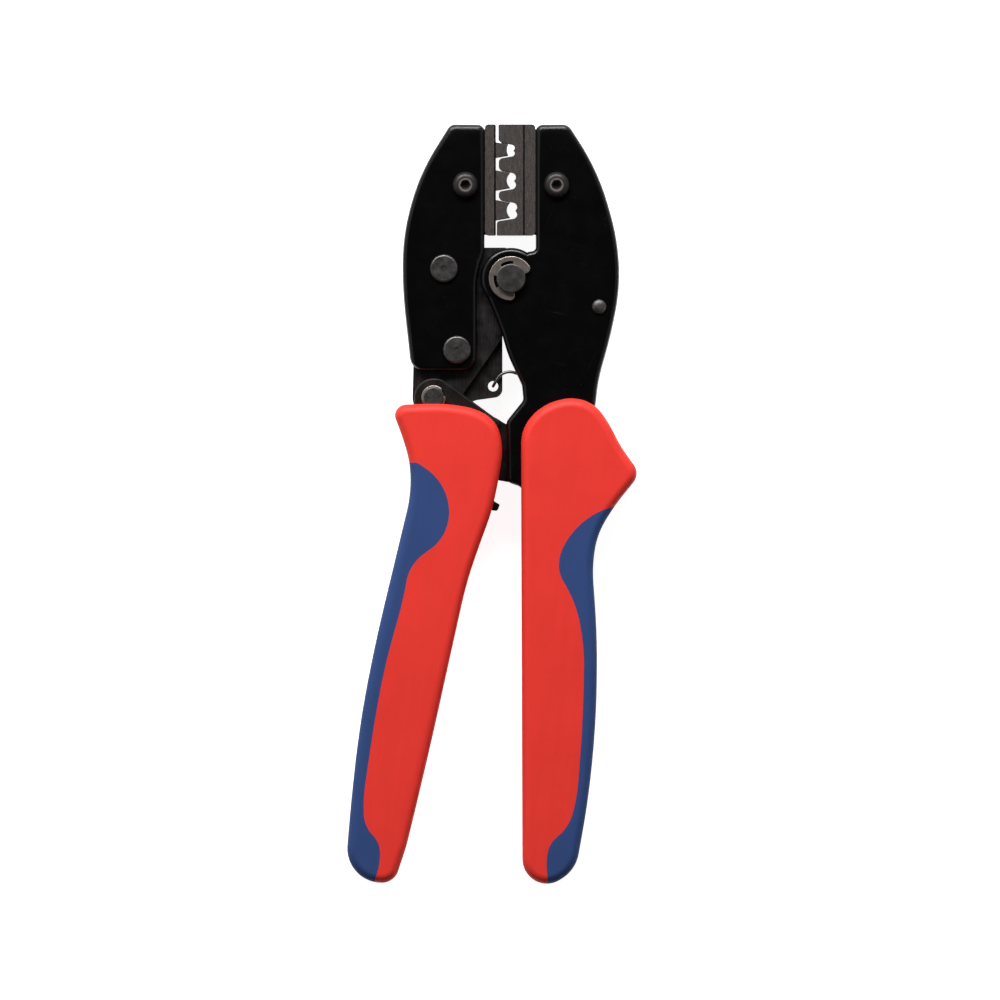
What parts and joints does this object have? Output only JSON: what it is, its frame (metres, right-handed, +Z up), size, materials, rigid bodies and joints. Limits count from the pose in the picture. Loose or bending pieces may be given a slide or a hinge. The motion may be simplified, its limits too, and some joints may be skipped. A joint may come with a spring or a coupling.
{
  "type": "ratchet crimping tool",
  "caption": "Hand crimping tool with swappable dies, a toggle-linked jaw, a ratchet pawl, a return spring and two-colour grips.",
  "frame": {"origin": "middle of the tool's base, on the surface that it lies on", "axes": "+Y from the grips to the jaws, +X from the moving side to the fixed side, +Z up from the surface it lies on"},
  "size_m": [0.0841, 0.2207, 0.021],
  "materials": {
    "black_steel": "glossy black lacquer",
    "dark_steel": "dark burnished steel",
    "grey_steel": "plain ground steel",
    "spring_steel": "grainy spring steel",
    "die_steel": "dark grained tool steel",
    "black_screw": "black oxide",
    "red_grip": "satin red",
    "blue_grip": "matt blue soft touch"
  },
  "bodies": {
    "frame": {"frame_plate_front": "black_steel", "frame_plate_rear": "black_steel", "fixed_jaw_spacer": "dark_steel", "die_right": "die_steel", "die_screw_right": "black_screw", "main_pivot_pin": "dark_steel", "main_pivot_clip": "spring_steel", "spring_post": "dark_steel", "toggle_pivot_pin": "grey_steel", "fixed_tail_rivet": "grey_steel", "fixed_grip_body": "red_grip", "fixed_grip_insert": "blue_grip", "return_spring": "spring_steel"},
    "jaw": {"jaw_cover_front": "black_steel", "jaw_cover_rear": "black_steel", "jaw_core_front": "dark_steel", "jaw_core_middle": "dark_steel", "jaw_core_rear": "dark_steel", "jaw_rivet_upper": "dark_steel", "jaw_rivet_lower": "dark_steel", "die_left": "die_steel", "die_screw_left": "black_screw", "handle_pivot_pin": "dark_steel", "handle_pivot_clip": "spring_steel"},
    "moving_handle": {"handle_cheek_front": "grey_steel", "handle_cheek_rear": "grey_steel", "knee_pin": "grey_steel", "moving_tail_rivet": "grey_steel", "pawl_pin": "dark_steel", "pawl_spring": "spring_steel", "moving_grip_body": "red_grip", "moving_grip_insert": "blue_grip"},
    "toggle": {"toggle_link": "grey_steel"},
    "pawl": {"ratchet_pawl": "dark_steel"}
  },
  "joints": [
    {"name": "jaw_pivot", "type": "hinge", "parent": "frame", "child": "jaw", "pos_m": [0.00592, 0.0657, 0.0105], "axis": [0, 0, 1], "range_deg": [-1, 8.1], "deforming": ["return_spring"]},
    {"name": "handle_pivot", "type": "hinge", "parent": "jaw", "child": "moving_handle", "pos_m": [-0.01658, 0.0311, 0.0105], "axis": [0, 0, 1], "range_deg": [-32, 3.6]},
    {"name": "toggle_pivot", "type": "hinge", "parent": "frame", "child": "toggle", "pos_m": [0.01792, 0.0097, 0.0105], "axis": [0, 0, 1], "range_deg": [-2.4, 20.5]},
    {"name": "pawl_pivot", "type": "hinge", "parent": "moving_handle", "child": "pawl", "pos_m": [-0.00858, 0.0012, 0.0105], "axis": [0, 0, 1], "range_deg": [-14, 0], "stiffness_Nm_per_rad": 0.05, "springref_deg": 5.73}
  ],
  "couplings": [
    {"joint": "jaw_pivot", "follows": "handle_pivot", "ratio": -0.25},
    {"joint": "toggle_pivot", "follows": "handle_pivot", "ratio": -0.63}
  ]
}
